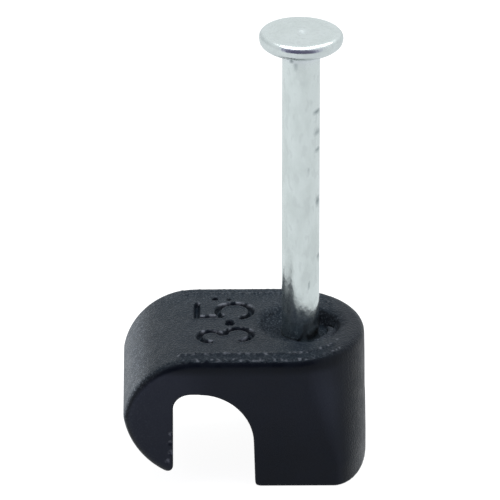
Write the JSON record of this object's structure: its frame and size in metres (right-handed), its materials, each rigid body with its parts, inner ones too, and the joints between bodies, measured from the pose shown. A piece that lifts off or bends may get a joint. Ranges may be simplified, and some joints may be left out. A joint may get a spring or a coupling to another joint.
{
  "type": "nail-in cable clip",
  "caption": "Moulded cable clip with a hooked channel for a small round cable and a flat-headed nail that is driven down through its block into the wall.",
  "frame": {"origin": "on the nail's axis, in the plane of the foot that stands on the wall", "axes": "+Z along the nail towards its head, -X towards the hook, Y along the cable"},
  "size_m": [0.0103, 0.0074, 0.0194],
  "materials": {
    "clip_plastic": "black moulded plastic with a fine sandy grain",
    "nail_zinc": "dull bright zinc plating on steel wire"
  },
  "bodies": {
    "clip": {"clip_body": "clip_plastic"},
    "nail": {"nail": "nail_zinc"}
  },
  "joints": [
    {"name": "nail_drive", "type": "slide", "parent": "clip", "child": "nail", "axis": [0, 0, -1], "range_m": [0, 0.01295]}
  ]
}
